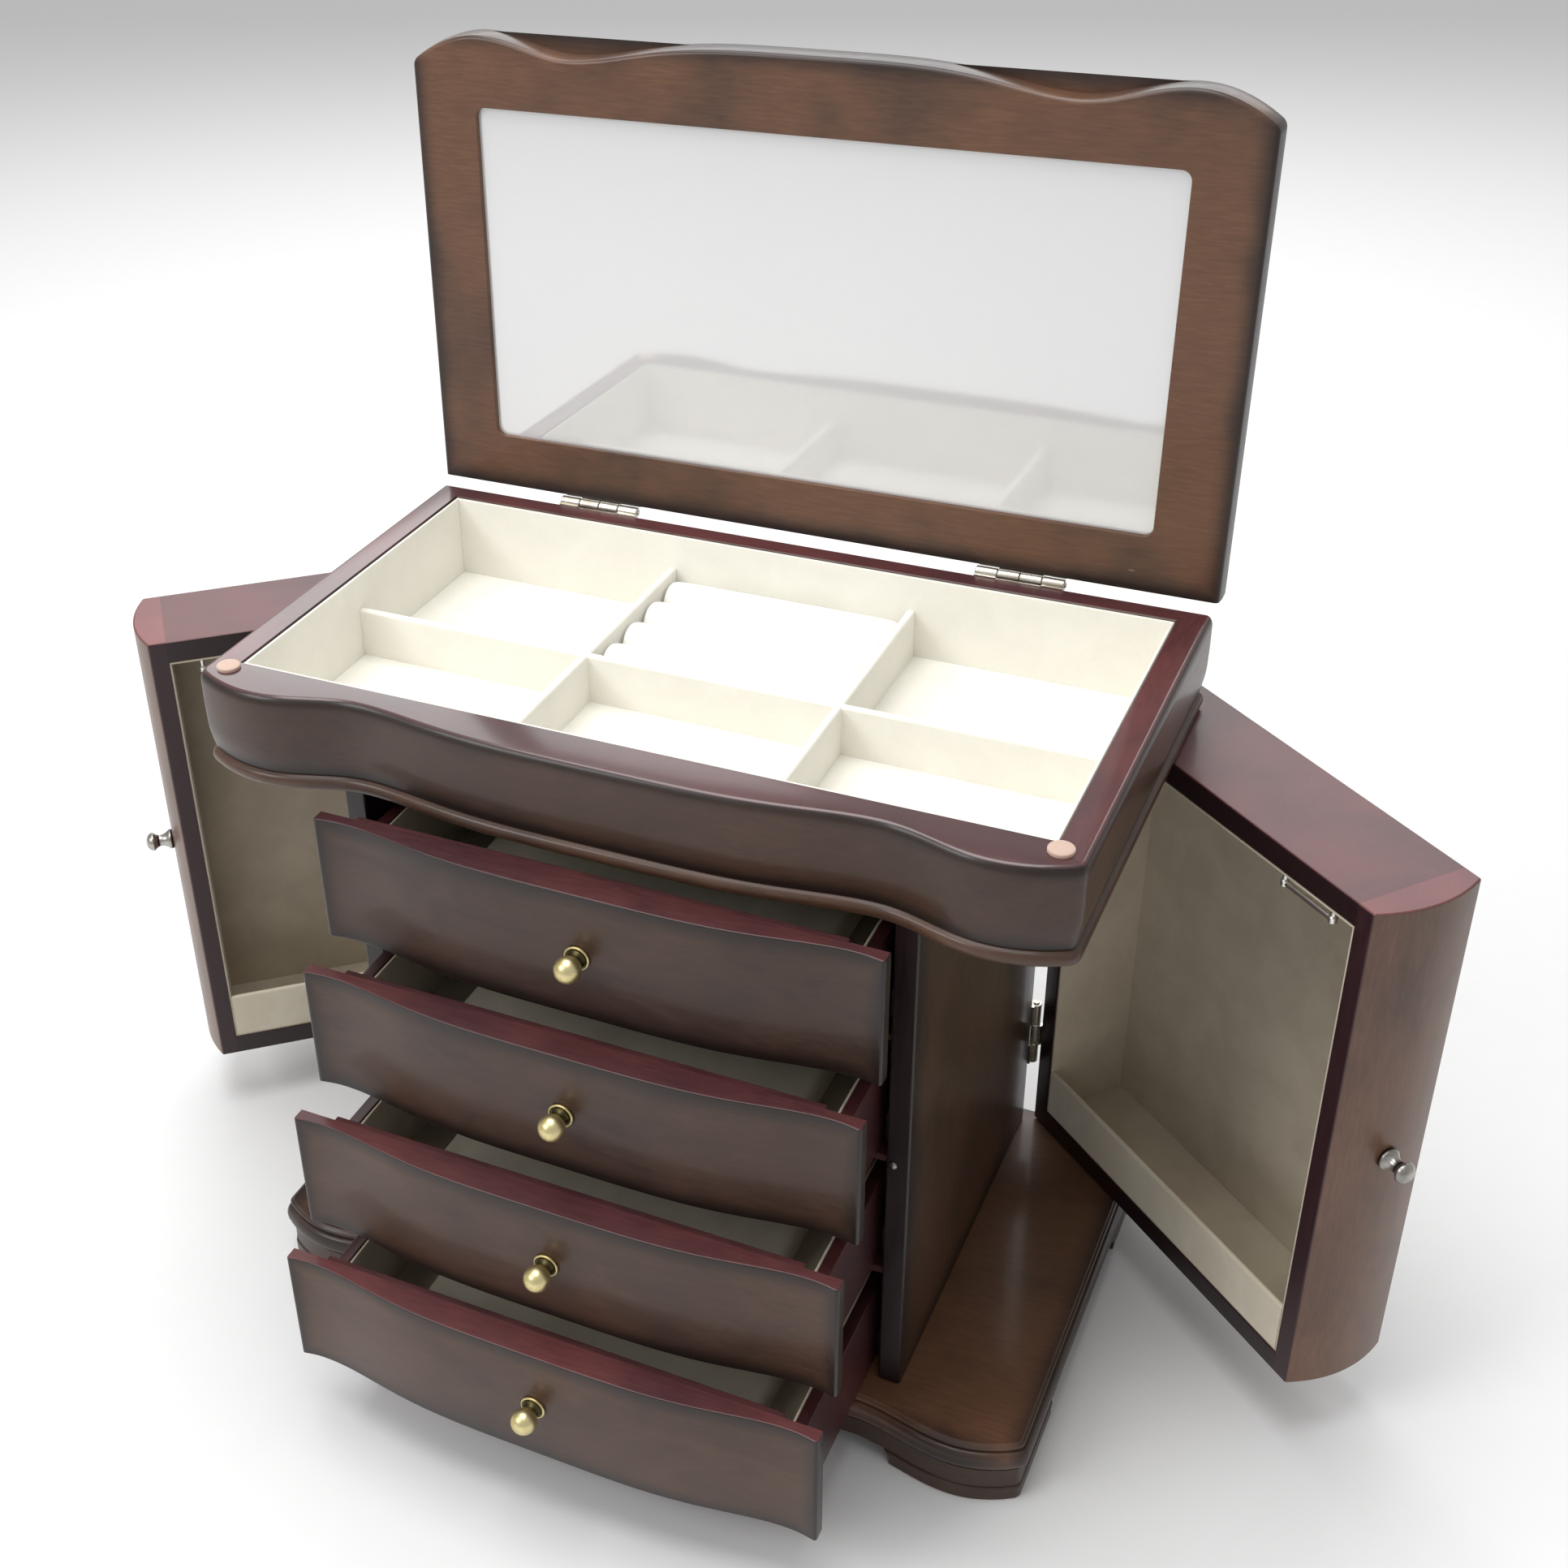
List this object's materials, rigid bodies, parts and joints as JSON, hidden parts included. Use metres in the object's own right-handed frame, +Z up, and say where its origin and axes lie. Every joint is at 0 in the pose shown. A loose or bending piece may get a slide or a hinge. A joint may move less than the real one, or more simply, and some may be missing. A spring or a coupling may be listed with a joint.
{
  "type": "jewellery chest",
  "caption": "Serpentine-fronted wooden jewellery chest: lift-up mirrored lid over a divided tray with ring rolls, stacked drawers and hollow swing-out side doors with necklace rails.",
  "frame": {"origin": "on the surface the chest stands on, under the middle of the open chest's bounding box", "axes": "+Z up, +X to the right of someone facing the front, -Y towards that person (the drawers open towards -Y); the mirror plane of the chest is x = 0"},
  "size_m": [0.574, 0.3138, 0.4996],
  "materials": {
    "walnut": "satin lacquer, dark walnut-brown, finely mottled",
    "plum_wood": "satin lacquer, plum-brown",
    "cream_suede": "flocked velvet, cream",
    "shaded_suede": "flocked velvet, greige",
    "brass": "antique brass, softly polished",
    "pewter": "dark pewter, softly polished",
    "nickel": "nickel plate",
    "mirror": "silvered glass",
    "felt_pad": "beige felt",
    "backing_card": "plain fibreboard"
  },
  "bodies": {
    "chest": {"base_board": "walnut", "base_apron": "walnut", "carcass_side_left": "walnut", "carcass_side_right": "walnut", "carcass_back": "walnut", "dust_panel_1": "plum_wood", "dust_panel_2": "plum_wood", "dust_panel_3": "plum_wood", "case_front": "walnut", "case_side_left": "walnut", "case_side_right": "walnut", "case_back": "walnut", "case_bottom_board": "walnut", "tray_lining": "cream_suede", "long_divider": "cream_suede", "short_divider_left": "cream_suede", "short_divider_right": "cream_suede", "ring_roll_pad": "cream_suede", "lid_bumper_left": "felt_pad", "lid_bumper_right": "felt_pad", "lid_hinge_left_case_leaf": "nickel", "lid_hinge_right_case_leaf": "nickel", "left_door_hinge_lower_carcass_leaf": "nickel", "left_door_hinge_upper_carcass_leaf": "nickel", "right_door_hinge_lower_carcass_leaf": "nickel", "right_door_hinge_upper_carcass_leaf": "nickel"},
    "lid": {"lid_frame": "walnut", "lid_mirror": "mirror", "mirror_backing": "backing_card", "lid_top_panel": "walnut", "lid_hinge_left_lid_leaf": "nickel", "lid_hinge_right_lid_leaf": "nickel"},
    "left_door": {"left_door_frame": "plum_wood", "left_door_front": "walnut", "left_door_side_panel": "walnut", "left_door_pocket_lip": "shaded_suede", "left_door_necklace_rail": "nickel", "left_door_knob": "pewter", "left_door_hinge_lower_door_leaf": "nickel", "left_door_hinge_upper_door_leaf": "nickel"},
    "right_door": {"right_door_frame": "plum_wood", "right_door_front": "walnut", "right_door_side_panel": "walnut", "right_door_pocket_lip": "shaded_suede", "right_door_necklace_rail": "nickel", "right_door_knob": "pewter", "right_door_hinge_lower_door_leaf": "nickel", "right_door_hinge_upper_door_leaf": "nickel"},
    "drawer_1": {"drawer_1_front": "walnut", "drawer_1_box": "plum_wood", "drawer_1_knob": "brass"},
    "drawer_2": {"drawer_2_front": "walnut", "drawer_2_box": "plum_wood", "drawer_2_knob": "brass"},
    "drawer_3": {"drawer_3_front": "walnut", "drawer_3_box": "plum_wood", "drawer_3_knob": "brass"},
    "drawer_4": {"drawer_4_front": "walnut", "drawer_4_box": "plum_wood", "drawer_4_knob": "brass"}
  },
  "joints": [
    {"name": "lid_hinge", "type": "hinge", "parent": "chest", "child": "lid", "pos_m": [0, 0.12758, 0.3028], "axis": [1, 0, 0], "range_deg": [0, 91]},
    {"name": "right_door_hinge", "type": "hinge", "parent": "chest", "child": "right_door", "pos_m": [0.1174, 0.12248, 0.1466], "axis": [0, 0, 1], "range_deg": [-50, 45]},
    {"name": "left_door_hinge", "type": "hinge", "parent": "chest", "child": "left_door", "pos_m": [-0.1174, 0.12248, 0.1466], "axis": [0, 0, -1], "range_deg": [-50, 45]},
    {"name": "drawer_1_slide", "type": "slide", "parent": "chest", "child": "drawer_1", "axis": [0, -1, 0], "range_m": [-0.0206, 0.0894]},
    {"name": "drawer_2_slide", "type": "slide", "parent": "chest", "child": "drawer_2", "axis": [0, -1, 0], "range_m": [-0.04, 0.07]},
    {"name": "drawer_3_slide", "type": "slide", "parent": "chest", "child": "drawer_3", "axis": [0, -1, 0], "range_m": [-0.059, 0.051]},
    {"name": "drawer_4_slide", "type": "slide", "parent": "chest", "child": "drawer_4", "axis": [0, -1, 0], "range_m": [-0.0771, 0.0329]}
  ]
}
